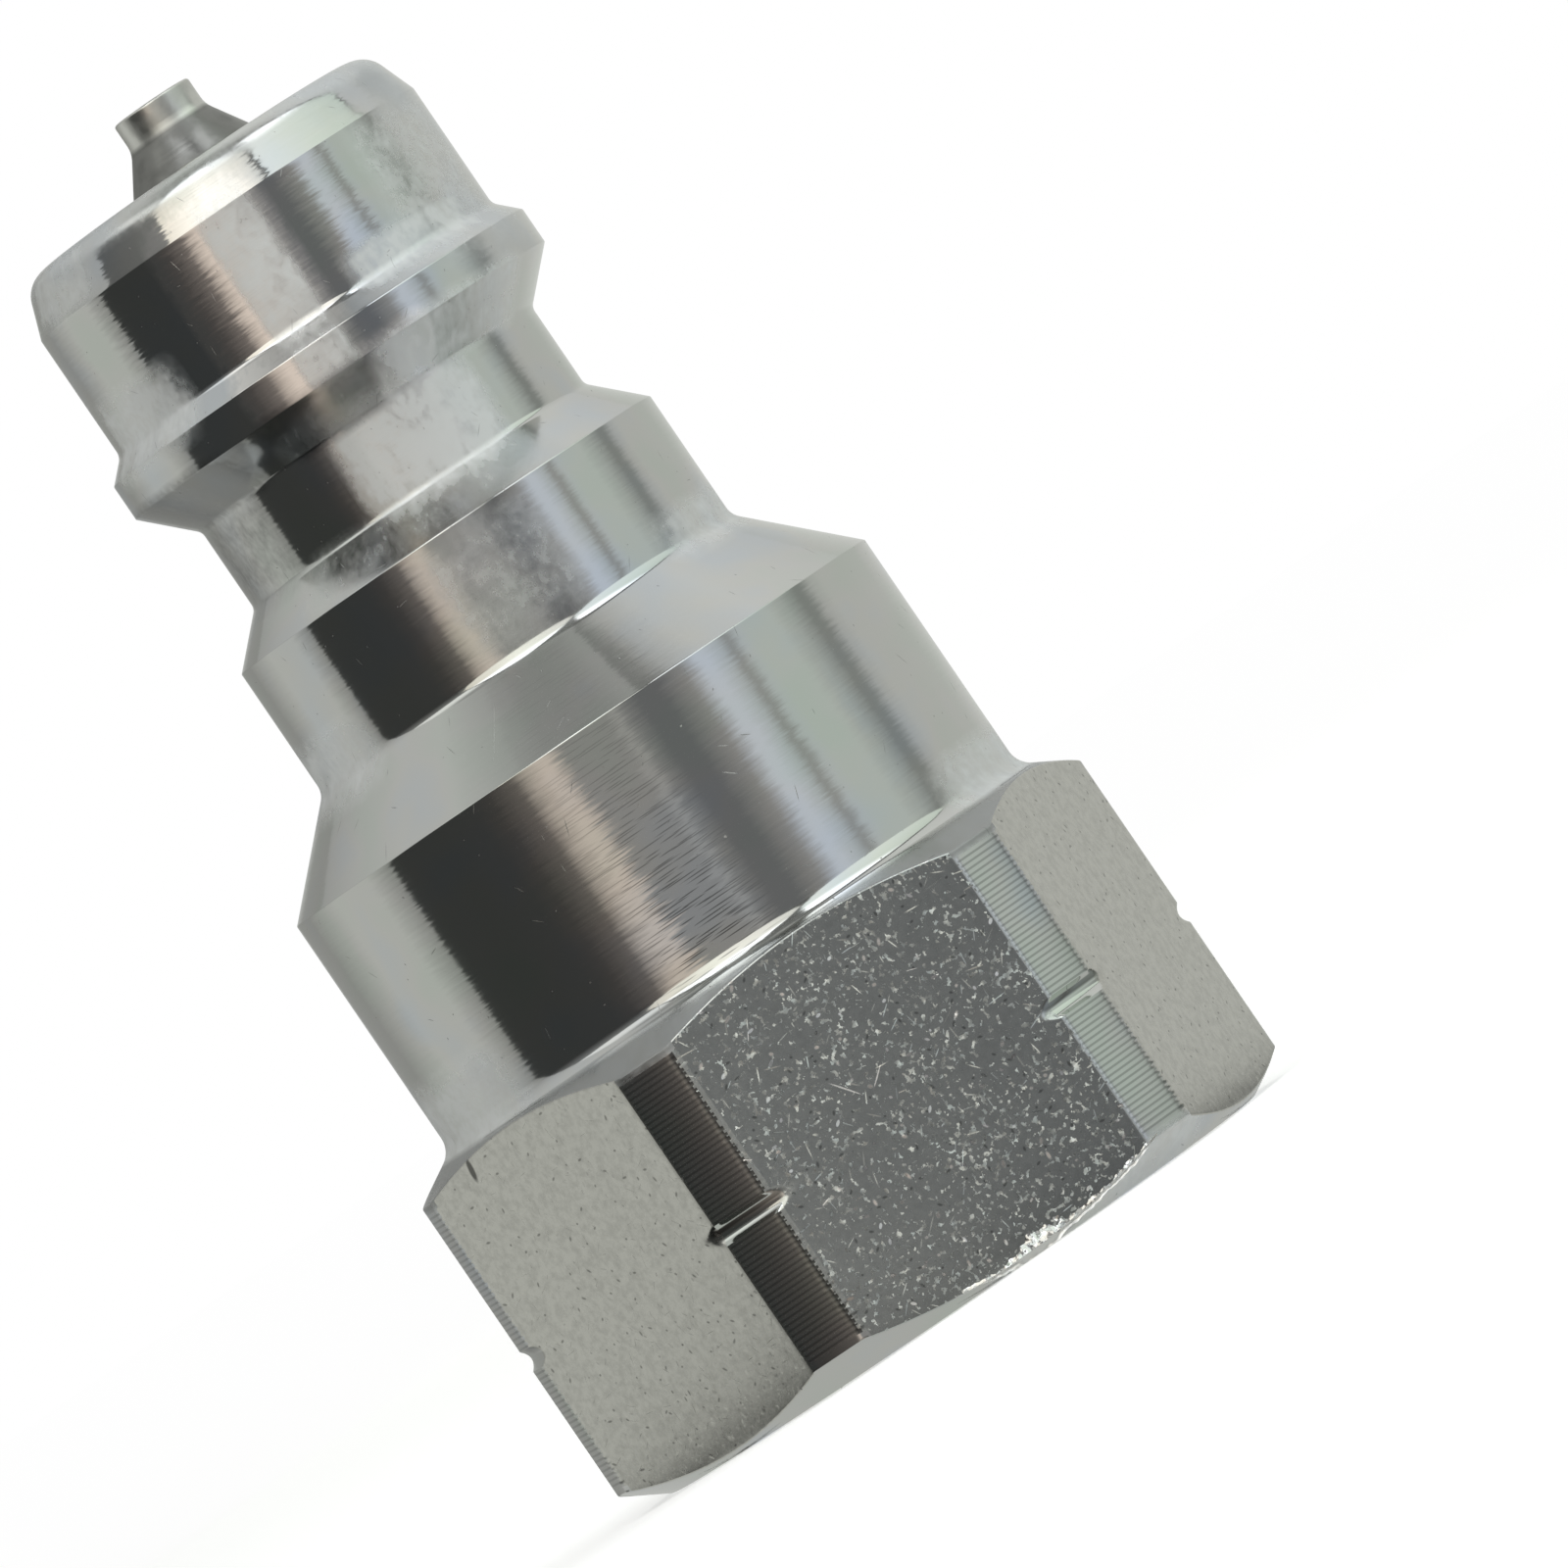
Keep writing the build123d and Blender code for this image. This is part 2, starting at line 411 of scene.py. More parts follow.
bodyMarks = [
    (8.0, 22.6, 0.55, 0.05, -30), (6.4, 21.6, 0.75, 0.07, -38), (-28.8, 49.4, 0.7, 0.05, -70),
    (7.0, 50.05, 0.5, 0.05, 35), (-13.0, 43.8, 0.35, 0.06, 70), (-15.5, 43.3, 1.6, 0.04, -6),
    (-24.0, 27.9, 2.6, 0.03, 62), (-64.4, 45.2, 0.5, 0.22, 10), (19.5, 45.7, 0.9, 0.14, -62),
    (38.0, 45.4, 0.6, 0.16, -40), (-0.3, 19.7, 0.16, 0.14, 0), (4.0, 24.1, 0.12, 0.1, 0),
]


def zincColor(tree):
    cloud = addNode(tree, "ValToRGB", inputs={0: noise(tree, millimetreVector(tree), 0.22, 2.0)})
    ramp = cloud.color_ramp
    ramp.elements.new(1)
    for element, place, tone in zip(ramp.elements, (0.36, 0.5, 0.66), ("greenTint", "color", "blueTint")):
        element.position = place
        element.color = zinc[tone]
    return cloud.outputs[0]


def ringedVector(tree, vector):
    # Runs along the radius where the surface faces up or down, so that turning lines stay rings there
    around, height = separated(tree, vector)[:2]
    reach = lengthOf(tree, scaledVector(tree, millimetreVector(tree), (1, 1, 0)))
    facing = separated(tree, addNode(tree, "NewGeometry").outputs["True Normal"])[2]
    level = slope(tree, mathNode(tree, "ABSOLUTE", facing), 0.85, 0.95)
    return joined(tree, around, mathNode(tree, "ADD", height, product(tree, reach, level)))


def hazeAndPaintedLightPatches(tree, vector, rings, patches):
    # Patches with a soft, ragged edge
    around, height = separated(tree, vector)[:2]
    masks = []
    for middle, rise, angle, reach, strength in patches:
        away = distanceFrom(tree, height, middle)
        side = mathNode(tree, "SUBTRACT", around, bodyRadius * math.radians(angle))
        side = mathNode(tree, "PINGPONG", side, bodyRadius * math.pi)
        near = slope(tree, away, rise, rise * 0.45, 0.0, strength)
        reach = bodyRadius * math.radians(reach)
        beside = slope(tree, side, reach, reach * 0.7)
        masks.append(product(tree, near, beside))
    broad = slope(tree, streaks(tree, rings, 0.6, 0.9, 3.0), 0.25, 0.75, 0.55, 1.45)
    fine = slope(tree, noise(tree, rings, 2.4, 3.0), 0.25, 0.75, 0.6, 1.4)
    return slope(tree, product(tree, either(tree, *masks), broad, fine), 0.05, 0.95)


def tornSector(tree, vector):
    # One on the front of the large cylinder, where the cutting edge tore the surface
    around, height = separated(tree, vector)[:2]
    reach = bodyRadius * math.radians(tears["reach"])
    away = distanceFrom(tree, around, bodyRadius * math.radians(tears["angle"]))
    sector = slope(tree, away, reach, reach * 0.4)
    fewer = slope(tree, height, tears["highest"], tears["lowest"], 0.25, 1.0)
    above = slope(tree, height, tears["highest"], tears["highest"] + 0.3, 1.0, 0.3)
    return product(tree, sector, fewer, above)


def turnedZinc():
    material, tree = newMaterial("turnedZinc")
    vector = unrolledVector(tree, bodyRadius)
    height = separated(tree, vector)[1]
    rings = ringedVector(tree, vector)
    haze, paintedSheen, paintedShade = (hazeAndPaintedLightPatches(tree, vector, rings, p) for p in (hazes, paintedSheens, paintedShadePatches))
    sector = tornSector(tree, vector)
    torn = strewn(tree, vector, turningTears)[0]
    torn = product(tree, torn, sector, slope(tree, height, tears["lowest"] - 2, tears["lowest"]))
    scratch = either(tree, strewn(tree, vector, scratches)[0], strewn(tree, vector, dust)[0])
    own = ownMarks(tree, vector, bodyRadius, bodyMarks)
    wobble = noise(tree, millimetreVector(tree), 0.9)
    lines = streaks(tree, rings, 0.4, 10, 3.0, 0.6)
    normal = bump(tree, lines, zinc["lineDepth"], bump(tree, wobble, zinc["wobbleDepth"]))
    sideways = vectorNode(tree, "CROSS_PRODUCT", (0, 0, 1), normal)
    lean = streaks(tree, rings, 0.5, 8, 3.0, 0.65)
    uneven = either(tree, sector, slope(tree, height, *zinc["noseStart"], *zinc["noseSway"]))
    sway = masked(tree, uneven, *zinc["sway"])
    normal = tilted(tree, normal, sideways, product(tree, mathNode(tree, "SUBTRACT", lean, 0.5), sway))
    # Painted sheen: lightened in the sheen patches listed above
    color = blended(tree, zincColor(tree), zinc["paintedSheenColor"], paintedSheen)
    color = darkened(tree, color, torn, zinc["tearDarkness"])
    color = blended(tree, color, zinc["hazeColor"], product(tree, haze, zinc["hazeShare"]))
    # Painted shade: darkened in the recessed patches listed above
    color = darkened(tree, color, paintedShade, zinc["paintedShadeDarkness"])
    color = darkened(tree, color, scratch, zinc["scratchDarkness"])
    # Painted shade: the hexagon's upper chamfer, in the corner under the body, is darkened
    start, full, fade, end = zinc["paintedShadeChamfer"]
    chamfer = product(tree, slope(tree, height, end, fade), slope(tree, height, start, full))
    color = darkened(tree, color, chamfer, zinc["paintedChamferShade"])
    rough = product(tree, either(tree, scratch, own), zinc["scratchRoughness"])
    rough = either(tree, masked(tree, haze, zinc["roughness"], zinc["hazeRoughness"]), rough)
    return surface(material, color, rough, normal, masked(tree, haze, 1.0, zinc["hazeMetal"]))


flatLook = {
    "color": (0.68, 0.705, 0.685, 1),
    "sideColor": (0.71, 0.705, 0.66, 1),
    "roughness": (0.1564, 0.187),
    "markRoughness": 0.32,
    "crumbShare": 1.35,     # of that roughness on the crumbs
    "grainDepth": 0.0011,   # mm
    "sideMarks": 0.08,      # how strongly the side flats are marked, with one on the front flat
    "pitDarkness": 0.5,
    "mottleDarkness": 0.16,
    "frontMottle": 0.6,
    "nickDarkness": 0.75,
}
flatMarks = [
    (-7.6, 9.3, 1.75, 0.09, -53), (-2.4, 9.0, 1.2, 0.08, 40), (-25.2, 9.2, 0.6, 0.07, -35),
    (-15.3, 13.0, 0.5, 0.06, 60), (-19.5, 6.2, 0.5, 0.05, 20), (11.5, 11.6, 0.6, 0.05, -20),
]
nicks = [(-73.9, 14.65, 1.2, 0.36, 78), (34.0, 1.4, 0.6, 0.1, 60)]
# steepness says how far a mark leans, and the lower its level is, the more it leans upwards
crumbs = {
    "size": 4.1,            # waves per mm of their outline
    "leanSize": 3.0,        # waves per mm of the way they face
    "threshold": 0.555,
    "steepness": 1.4,
    "level": 0.46,
}
glints = {
    "cell": (0.8, 0.8), "length": 0.4, "width": 0.16, "spread": 180, "share": 0.35, "shift": 5.1,
    "steepness": 0.85, "level": 0.28,
}
hairlines = {
    "cell": (0.7, 0.7), "length": 0.95, "width": 0.065, "spread": 180, "share": 0.55, "shift": 9.3,
    "steepness": 0.6, "level": 0.2,
}
ownLook = {"lean": (0.55, 0.45, 0.75), "steepness": 0.6, "level": 0.4}
darkPits = {"cell": (0.75, 0.75), "length": 0.32, "width": 0.12, "spread": 180, "share": 0.45, "shift": 2.2}
lipLook = {
    "middle": 1.1,          # mm right of the front flat's middle
    "reach": 1.7,           # mm to each side
    "rise": 0.5,            # mm above the flat's edge in the middle, and along the rest
    "thin": 0.15,
    "start": -3.0,
    "end": 7.2,
    "waves": 2.6,           # to a mm
    "steepness": 3.0,
    "level": 0.4,
    "color": (0.86, 0.86, 0.84, 1),
}


def crumpledLip(tree, around, height, place):
    # Mask of the front flat's lower edge, where it was crushed
    look = lipLook
    edge = product(tree, around, around, chamferSlope / 2 / flatReach)
    edge = mathNode(tree, "ADD", edge, (flatReach - endRadius) * chamferSlope)
    above = mathNode(tree, "SUBTRACT", height, edge)
    away = distanceFrom(tree, around, look["middle"])
    rise = slope(tree, away, look["reach"], look["reach"] * 0.2, look["thin"], look["rise"])
    ragged = slope(tree, noise(tree, place, 2.2), 0.3, 0.7, 0.4, 1.6)
    inside = mathNode(tree, "LESS_THAN", above, product(tree, rise, ragged))
    started = slope(tree, around, look["start"], look["start"] + 1)
    ended = slope(tree, around, look["end"], look["end"] - 1)
    return product(tree, inside, started, ended)


def drawnZinc():
    # The flats keep the drawn bar's skin: fine grain with pits and small scratches
    look = flatLook
    material, tree = newMaterial("drawnZinc")
    vector = unrolledVector(tree, flatReach)
    around, height = separated(tree, vector)[:2]
    place = millimetreVector(tree)
    normal = bump(tree, noise(tree, place, 5.0, 3.0, 0.6), look["grainDepth"])
    clump = noise(tree, place, 0.7)
    crumb = noise(tree, place, crumbs["size"], 2.0, 0.6)
    crumb = mathNode(tree, "ADD", crumb, slope(tree, clump, 0.3, 0.7, -0.05, 0.05))
    crumb = slope(tree, crumb, crumbs["threshold"], crumbs["threshold"] + 0.05)
    crumbLean = noise(tree, place, crumbs["leanSize"], output="Color")
    glint, glintLean = strewn(tree, vector, glints)
    hair, hairLean = strewn(tree, vector, hairlines)
    own = ownMarks(tree, vector, flatReach, flatMarks)
    # The front flat is marked the most
    corner = flatReach * math.radians(30)
    aside = mathNode(tree, "ABSOLUTE", around)
    front = slope(tree, aside, corner - 0.025, corner + 0.025, 1.0, look["sideMarks"])
    side = slope(tree, front, 1.0, look["sideMarks"])
    leaning = ((crumbLean, crumb, crumbs), (glintLean, glint, glints), (hairLean, hair, hairlines),
               (ownLook["lean"], own, ownLook))
    for lean, mask, marks in leaning:
        push = vectorNode(tree, "SUBTRACT", lean, (0.5, 0.5, marks["level"]))
        normal = tilted(tree, normal, push, product(tree, mask, front, marks["steepness"]))
    lip = crumpledLip(tree, around, height, place)
    push = noise(tree, place, lipLook["waves"], 3.0, output="Color")
    push = vectorNode(tree, "SUBTRACT", push, (0.5, 0.5, lipLook["level"]))
    normal = tilted(tree, normal, push, product(tree, lip, lipLook["steepness"]))
    color = blended(tree, look["color"], look["sideColor"], side)
    color = darkened(tree, color, strewn(tree, vector, darkPits)[0], look["pitDarkness"])
    mottle = slope(tree, noise(tree, place, 2.6, 5.0, 0.7), 0.42, 0.62)
    mottle = product(tree, mottle, masked(tree, side, look["frontMottle"], 1.0))
    color = darkened(tree, color, mottle, look["mottleDarkness"])
    color = blended(tree, color, lipLook["color"], lip)
    color = darkened(tree, color, ownMarks(tree, vector, flatReach, nicks), look["nickDarkness"])
    # The glints and own marks are real marks; lightening them on the front flat is a painted highlight
    color = blended(tree, color, zinc["paintedSheenColor"], product(tree, either(tree, glint, own), front))
    marked = either(tree, product(tree, crumb, look["crumbShare"], front), glint, hair, own)
    base = slope(tree, clump, 0.3, 0.7, *look["roughness"])
    rough = either(tree, base, product(tree, marked, look["markRoughness"]))
    return surface(material, color, rough, normal)


cornerLook = {
    "ribDarkness": 0.36,
    "tornDarkness": 0.8,
    "torn": (3.0, 4.3),     # degrees from the corner, over which the torn edge darkens
    "frontCorner": (9, 7),  # degrees from the corner left of the front flat, which is torn the most
    "otherCorners": 0.15,   # how dark the others are, with one there
    "roughness": (0.16, 0.35),
    "grainDepth": 0.0006,   # mm
}


def ribbedZinc():
    # The turned corners keep the feed lines, dark where plating didn't fill them
    look = cornerLook
    material, tree = newMaterial("ribbedZinc")
    vector = unrolledVector(tree, cornerRadius)
    around, height = separated(tree, vector)[:2]
    oneDegree = cornerRadius * math.radians(1)      # mm around the corners' circle
    line = mathNode(tree, "COSINE", product(tree, height, 2 * math.pi / zinc["feedPitch"]))
    color = darkened(tree, zincColor(tree), slope(tree, line, 0.0, 0.7), look["ribDarkness"])
    side = mathNode(tree, "SUBTRACT", around, 30 * oneDegree)
    inputs = {0: side, 1: 30 * oneDegree, 2: -30 * oneDegree}
    side = addNode(tree, "Math", {"operation": "WRAP"}, inputs).outputs[0]
    torn = slope(tree, side, *(oneDegree * degrees for degrees in look["torn"]))
    beside = distanceFrom(tree, around, -30 * oneDegree)
    far, near = (oneDegree * degrees for degrees in look["frontCorner"])
    torn = product(tree, torn, slope(tree, beside, far, near, look["otherCorners"], 1.0))
    color = darkened(tree, color, torn, look["tornDarkness"])
    normal = bump(tree, noise(tree, vector, 4.0), look["grainDepth"])
    return surface(material, color, masked(tree, torn, *look["roughness"]), normal)


def plainMetal(name, color, roughness, lineDepth):
    material, tree = newMaterial(name)
    lines = streaks(tree, unrolledVector(tree, 4.0), 0.5, 8, 3.0, 0.6)
    return surface(material, color, roughness, bump(tree, lines, lineDepth))


poppetLook = {
    "color": (0.8, 0.8, 0.76),
    "pinStart": 54.2,       # mm above the port's face; below it the cone is darker
    # Painted shade: the cone below the pin is darkened
    "paintedConeShade": 0.65,
    "stainDarkness": 0.12,
    "ringDepth": 0.008,     # mm of the turned rings on the pin
    "grainDepth": 0.003,
    "roughness": (0.28, 0.42),
}


def poppetSteel():
    look = poppetLook
    material, tree = newMaterial("poppetSteel")
    vector = unrolledVector(tree, 1.6)
    height = separated(tree, vector)[1]
    cone = slope(tree, height, look["pinStart"] + 0.1, look["pinStart"] - 0.1)
    rings = streaks(tree, vector, 0.3, 7, 2.0, 0.6)
    grain = noise(tree, millimetreVector(tree), 4.0, 3.0, 0.6)
    normal = bump(tree, grain, look["grainDepth"], bump(tree, rings, look["ringDepth"]))
    stain = slope(tree, noise(tree, millimetreVector(tree), 0.9, 3.0), 0.42, 0.62)
    # Painted shade on the cone below the pin
    color = darkened(tree, look["color"], cone, look["paintedConeShade"])
    color = darkened(tree, color, stain, look["stainDarkness"])
    return surface(material, color, masked(tree, stain, *look["roughness"]), normal)


def sealRubber():
    material, tree = newMaterial("sealRubber")
    normal = bump(tree, noise(tree, millimetreVector(tree), 6.0), 0.004)
    return surface(material, (0.025, 0.025, 0.027, 1), 0.55, normal, metallic=0.0)


turnedFinish = turnedZinc()
drawnFinish = drawnZinc()
ribbedFinish = ribbedZinc()
brightEdge = plainMetal("brightEdge", (0.86, 0.86, 0.84, 1), 0.36, 0.006)
poppetFinish = poppetSteel()
guideSteel = plainMetal("guideSteel", (0.5, 0.49, 0.47, 1), 0.3, 0.002)
springSteel = plainMetal("springSteel", (0.42, 0.42, 0.43, 1), 0.28, 0.001)
rubber = sealRubber()
print("stage: materials made")


supportGap = 0.05           # mm from an arc's end to a close point on the straight side


def cornerArc(before, corner, after, radius, stepAngle):
    # Points that round one corner of an outline, with a close point on each straight side
    a = (Vector(before) - Vector(corner)).normalized()
    b = (Vector(after) - Vector(corner)).normalized()
    half = a.angle(b) / 2
    reach = radius / math.tan(half)
    middle = Vector(corner) + (a + b).normalized() * (radius / math.sin(half))
    start = Vector(corner) + a * reach
    end = Vector(corner) + b * reach
    sweep = math.pi - 2 * half
    steps = max(2, round(math.degrees(sweep) / stepAngle))
    fromMiddle = start - middle
    turnWay = 1 if fromMiddle.cross(end - middle) > 0 else -1
    points = [start + a * supportGap]
    for i in range(steps + 1):
        turn = turnWay * sweep * i / steps
        points.append(middle + Matrix.Rotation(turn, 2) @ fromMiddle)
    points.append(end + b * supportGap)
    return points


def roundedOutline(corners):
    # corners: radius, height, rounding; the first and the last stay as they are
    line = [Vector(corners[0][:2])]
    for before, here, after in zip(corners, corners[1:], corners[2:]):
        if here[2]:
            stepAngle = outside["arcStep"] if here[2] > bore["edge"] else bore["arcStep"]
            line += cornerArc(before[:2], here[:2], after[:2], here[2], stepAngle)
        else:
            line.append(Vector(here[:2]))
    return line + [Vector(corners[-1][:2])]


def bodyOutline():
    # From the hexagon's top to the front face and down the bore to the port's mouth
    o, b = outside, bore
    radius, height = bodyRadius, hexagon["length"] + o["bodyLength"]
    corners = [(radius, hexagon["length"] + hexagon["rootRadius"], 0), (radius, height, o["edge"])]
    # Each stretch starts with a shoulder at 45 degrees, and then come its lower and its upper rounding
    stretches = (("shank", "shankRoot", "edge"), ("neck", "neckRoot", "neckRoot"),
                 ("collar", "edge", "edge"), ("nose", "noseRoot", "edge"))
    for name, lower, upper in stretches:
        height += abs(o[name + "Diameter"] / 2 - radius)
        radius = o[name + "Diameter"] / 2
        corners.append((radius, height, o[lower]))
        height += o[name + "Length"]
        corners.append((radius, height, o[upper]))
    height += o["taperLength"]
    radius -= o["taperLength"] * math.tan(math.radians(o["taperAngle"]))
    corners.append((radius, height, o["frontEdge"]))
    throatBase = height - b["throatLength"]
    chamberTop = b["pocketDepth"] + b["chamberLength"]
    valve = [
        ("throat", height),
        ("throat", throatBase),
        ("valve", throatBase - (b["valveDiameter"] - b["throatDiameter"]) / 2),
        ("valve", chamberTop + (b["chamberDiameter"] - b["valveDiameter"]) / 2),
        ("chamber", chamberTop),
    ]
    port = [
        ("chamber", b["pocketDepth"]),
        ("pocket", b["pocketDepth"]),
        ("pocket", b["grooveTop"]),
        ("groove", b["grooveTop"]),
        ("groove", b["grooveBase"]),
        ("pocket", b["grooveBase"]),
        ("pocket", b["portDepth"]),
        ("port", b["portDepth"]),
        ("port", (b["mouthDiameter"] - b["portDiameter"]) / 2),
        ("mouth", 0),
    ]
    for stretch, rounding in ((valve, o["edge"]), (port, b["edge"])):
        corners += [(b[name + "Diameter"] / 2, place, rounding) for name, place in stretch]
    return roundedOutline(corners + [(endRadius, 0, 0)])


def hexColumns():
    # Angles around one sixth of the hexagon, measured from its corner, closest near the corner's edges
    steps = [-30 + 2.4 * i for i in range(10)]
    steps += [-7.0] + [round(-6.4 + 0.32 * i, 2) for i in range(11)] + [-2.2, -1.1]
    return steps + [0] + [-step for step in reversed(steps) if step > -30]


def softMin(a, b, softness):
    gap = max(softness - abs(a - b), 0) / softness
    return min(a, b) - gap * gap * softness / 4


def turnedRadius(height):
    # Radius of the turned corner at a height, with the groove
    offGroove = abs(height - hexagon["grooveHeight"]) / (hexagon["grooveWidth"] / 2)
    return cornerRadius - hexagon["grooveDepth"] * max(1 - offGroove ** 2, 0)


def flatRadius(step):
    return flatReach / math.cos(math.radians(30 - abs(step)))


def hexRadius(height, turned, flat):
    # The smallest of the turned corner, the flat and the two chamfers, with soft edges
    lower = endRadius + height / chamferSlope
    upper = bodyRadius + (hexagon["length"] - height) / chamferSlope
    radius = turned
    for other in (flat, lower, upper):
        radius = softMin(radius, other, hexagon["edgeSoftness"])
    return radius


def chamferHeights(step):
    reach = min(flatRadius(step), cornerRadius)
    lower = (reach - endRadius) * chamferSlope
    return lower, hexagon["length"] - (reach - bodyRadius) * chamferSlope


def hexColumn(step):
    # Radius and height of each row of the hexagon's surface on one column, and the rows of its plain part
    h = hexagon
    gap, plain, grooveRows = h["rowGap"], h["plainRows"], h["grooveRows"]
    lower, upper = chamferHeights(step)
    first, last = lower + h["landMargin"], upper - h["landMargin"]
    foot, top = h["grooveHeight"] - h["grooveWidth"] / 2, h["grooveHeight"] + h["grooveWidth"] / 2
    heights = [gap, lower * 0.5] + [lower + n for n in h["edgeRows"]]
    firstRow = len(heights)
    heights += [first + (foot - gap - first) * i / plain for i in range(plain + 1)]
    heights += [foot + (top - foot) * i / grooveRows for i in range(grooveRows + 1)]
    heights += [last + (top + gap - last) * i / plain for i in range(plain, -1, -1)]
    lastRow = len(heights) - 1
    heights += [upper + n for n in h["edgeRows"]]
    column = [(hexRadius(height, turnedRadius(height), flatRadius(step)), height) for height in heights]
    # The concave root between the upper chamfer and the body
    x, y = bodyRadius, h["length"]
    root = cornerArc((x + 1, y - chamferSlope), (x, y), (x, y + 1), h["rootRadius"], h["rootArcStep"])
    return column + [tuple(p) for p in root], firstRow, lastRow


def ribRadius(height, step):
    # Turned corner with the ribs that the feed left, deeper where the tool broke out of the bar
    h = hexagon
    radius = turnedRadius(height)
    if radius < cornerRadius:
        return radius
    start, end = h["tornRibs"]
    place = height / zinc["feedPitch"] % 1
    torn = min(max((step - start) / (end - start), 0), 1)
    uneven = 0.55 + 0.45 * math.sin(height * 5.1) * math.sin(height * 17.3 + 1)
    depth = h["ribDepth"] + h["tornRibDepth"] * torn * torn * uneven
    return radius - depth * (1 - (2 * place - 1) ** 2)


def addLand(corner, points, faces, slots):
    # The ribbed strip of one corner, which fills the place left free in the body's grid
    h = hexagon
    strip = [step for step in hexColumns() if h["landStart"] <= step <= h["landEnd"]]
    rib = zinc["feedPitch"] / h["rowsPerRib"]
    lowest, highest = h["ribHeights"]
    ribs = [lowest + rib * i for i in range(int((highest - lowest) / rib) + 1)]
    start = len(points)
    for step in strip:
        lower, upper = chamferHeights(step)
        heights = [lower + h["landMargin"], *ribs, upper - h["landMargin"]]
        turn = math.radians(corner + step)
        for height in heights:
            radius = hexRadius(height, ribRadius(height, step), flatRadius(step))
            points.append((radius * math.cos(turn), radius * math.sin(turn), height))
    rows = len(heights)
    for i in range(len(strip) - 1):
        middle = (strip[i] + strip[i + 1]) / 2
        for j in range(rows - 1):
            a = start + i * rows + j
            faces.append((a, a + rows, a + rows + 1, a + 1))
            height = (heights[j] + heights[j + 1]) / 2
            turned = ribRadius(height, middle) < flatRadius(middle)
            inGroove = abs(height - h["grooveHeight"]) < h["grooveWidth"] / 2
            slots.append((0 if inGroove else 2) if turned else 1)


def turnedBody():
    h = hexagon
    steps = hexColumns() * 6
    columns = [60 * (i // len(hexColumns())) + step for i, step in enumerate(steps)]
    rest = [tuple(p) for p in bodyOutline()][1:]
    points, faces, slots = [], [], []
    for angle, step in zip(columns, steps):
        turn = math.radians(angle)
        column, firstRow, lastRow = hexColumn(step)
        for radius, height in column + rest:
            points.append((radius * math.cos(turn), radius * math.sin(turn), height))
    rows = len(column) + len(rest)
    count = len(columns)
    for i in range(count):
        here, beside = i * rows, (i + 1) % count * rows
        onLand = h["landStart"] <= steps[i] < h["landEnd"]
        for j in range(rows):
            onSide = firstRow <= j < lastRow
            if onLand and onSide:
                continue
            nextRow = (j + 1) % rows
            faces.append((here + j, beside + j, beside + nextRow, here + nextRow))
            slots.append(1 if firstRow - 4 <= j < lastRow + 4 and not onLand else 0)
    for side in range(6):
        addLand(60 * side, points, faces, slots)
    body = newPiece("turnedBody", points, faces, [turnedFinish, drawnFinish, ribbedFinish], smoothAngle=22)
    body.data.polygons.foreach_set("material_index", slots)
    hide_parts("nipple_body")
    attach(body, bodyName)
    return body


burr = {
    "from": -7.0,           # degrees from the front flat's middle
    "to": 27.0,
    "widest": 3.2,          # degrees from the front flat's middle
    "spread": 3.2,          # degrees over which it widens there
    "width": 0.75,          # mm there
    "thin": 0.16,           # mm along the rest
    "depth": 0.11,
    "overlap": 0.06,        # mm that it reaches up over the edge
    "lowest": 0.02,
    "columns": 150,
    "rows": 8,
}


def edgeBurr():
    # Torn burr that hangs over the lower chamfer along the front flat's right half
    b = burr
    noiseAt = mathutilsNoise.noise
    points = []
    for i in range(b["columns"] + 1):
        share = i / b["columns"]
        angle = math.radians(b["from"] + (b["to"] - b["from"]) * share)
        x = flatReach * math.tan(angle)
        edge = (flatReach / math.cos(angle) - endRadius) * chamferSlope
        ragged = 1 + 0.5 * noiseAt((x * 1.3, 3.1, 0)) + 0.35 * noiseAt((x * 4.3, 0, 0))
        fade = min(1, share * 8, (1 - share) * 8)
        lump = math.exp(-((math.degrees(angle) - b["widest"]) / b["spread"]) ** 2)
        width = (b["thin"] + (b["width"] - b["thin"]) * lump) * ragged * fade
        for j in range(b["rows"]):
            down = j / (b["rows"] - 1)
            z = edge + b["overlap"] - (width + b["overlap"]) * down
            rough = 0.5 + 0.5 * noiseAt((x * 3.7, z * 6.0, 1.7))
            inward = b["depth"] * rough * math.sin(math.pi * min(1, down * 1.2))
            y = -flatReach + 0.004 + inward * 0.8
            if down == 1:
                # The last row ends in the chamfer
                z = max(z, b["lowest"] + 0.01)
                chamfer = endRadius + z / chamferSlope
                y = -math.sqrt(max(chamfer ** 2 - x ** 2, 0)) + 0.02
            points.append((x, y, max(z, b["lowest"])))
    faces = gridFaces(b["columns"] + 1, b["rows"])
    piece = newPiece("edgeBurr", points, faces, [brightEdge], smoothAngle=60)
    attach(piece, bodyName)


body = turnedBody()
edgeBurr()
print("stage: body turned,", len(body.data.polygons), "faces")


thread = {
    "turnsPerInch": 14,
    "minorDiameter": 18.63,
    "section": (            # half of the ridge's section: share of the pitch, share of the height
        (0.46, 0), (0.3, 0.42), (0.14, 0.93), (0.07, 1),
    ),
    "start": 0.7,
    "end": 14.2,
    "segments": 96,
    "fade": 0.5,            # turns over which it rises from the wall and sinks back
    "sunk": 0.05,           # mm that the ridge's foot lies inside the wall
}


